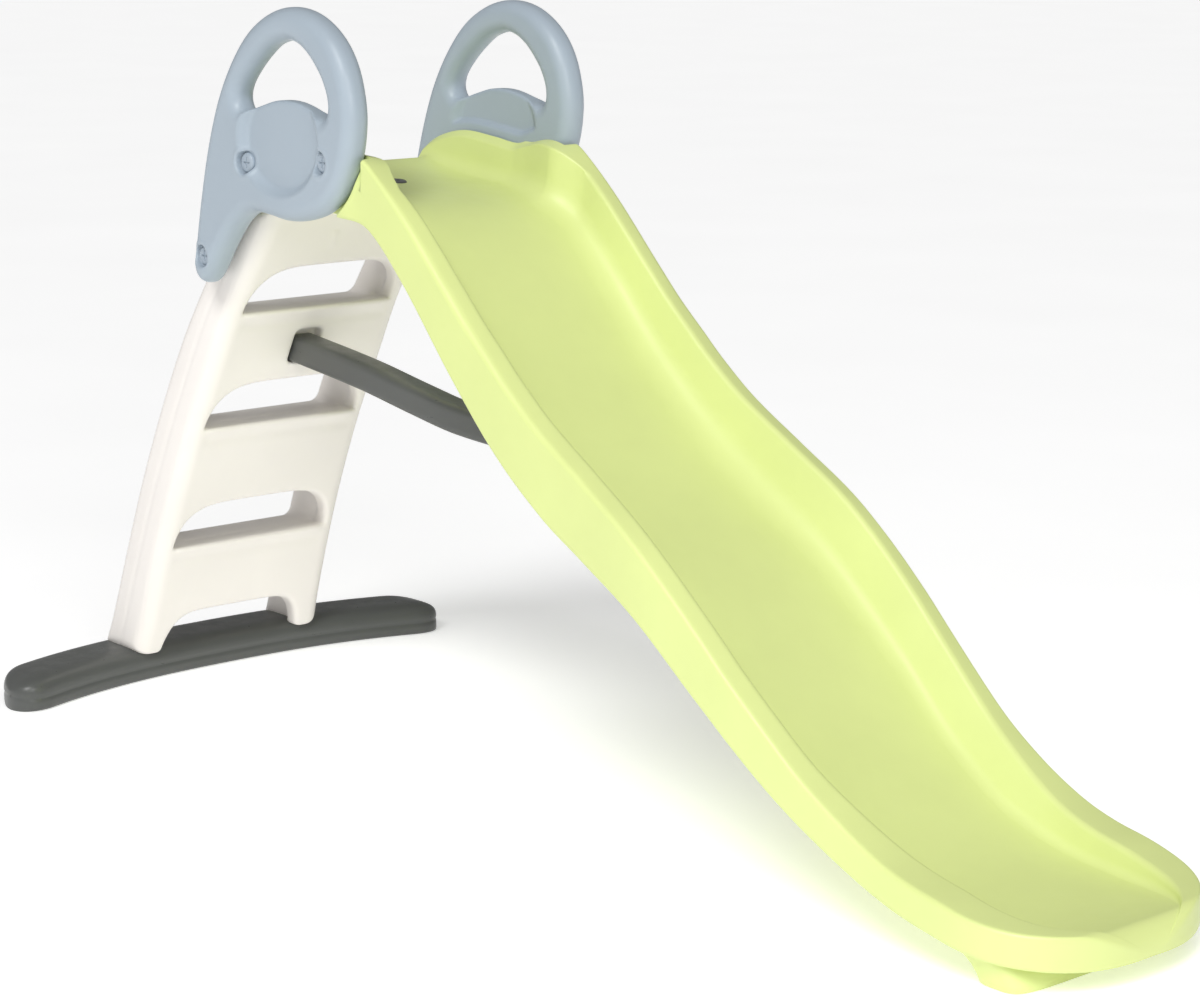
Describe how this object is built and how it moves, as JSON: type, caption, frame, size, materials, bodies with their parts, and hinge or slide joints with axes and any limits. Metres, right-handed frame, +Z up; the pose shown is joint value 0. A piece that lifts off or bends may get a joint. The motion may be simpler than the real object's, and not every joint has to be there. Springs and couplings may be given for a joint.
{
  "type": "toddler slide",
  "caption": "Toddler garden slide: a curved trough chute on a slotted step ladder, with closed hand loops at the top, a wide cross foot and a brace under the chute, screwed together.",
  "frame": {"origin": "on the floor, at the middle of the slide's length and width", "axes": "+X level, the way a child slides; +Y to the sliding child's left; +Z up"},
  "size_m": [2.128, 0.854, 1.13],
  "materials": {
    "lime_plastic": "blow-moulded polyethylene, satin, pale lime",
    "cream_plastic": "blow-moulded polyethylene, satin, warm off-white",
    "blue_plastic": "blow-moulded polyethylene, satin, grey-blue",
    "blue_screws": "injection-moulded plastic, satin, grey-blue",
    "charcoal_plastic": "blow-moulded polyethylene, satin, charcoal",
    "black_rubber": "matt black rubber washer"
  },
  "bodies": {
    "root": {"chute": "lime_plastic", "ladder": "cream_plastic", "hand_loop_left": "blue_plastic", "hand_loop_right": "blue_plastic", "cross_foot": "charcoal_plastic", "brace": "charcoal_plastic", "loop_screw_front_left": "blue_screws", "loop_screw_front_right": "blue_screws", "loop_screw_rear_left": "blue_screws", "loop_screw_rear_right": "blue_screws", "loop_screw_tail_left": "blue_screws", "loop_screw_tail_right": "blue_screws", "foot_screw_front_left": "charcoal_plastic", "foot_screw_front_right": "charcoal_plastic", "foot_screw_rear_left": "charcoal_plastic", "foot_screw_rear_right": "charcoal_plastic", "brace_screw_ladder": "charcoal_plastic", "brace_screw_chute": "charcoal_plastic", "hose_inlet": "charcoal_plastic", "inlet_nut": "charcoal_plastic", "inlet_washer": "black_rubber"}
  },
  "joints": []
}
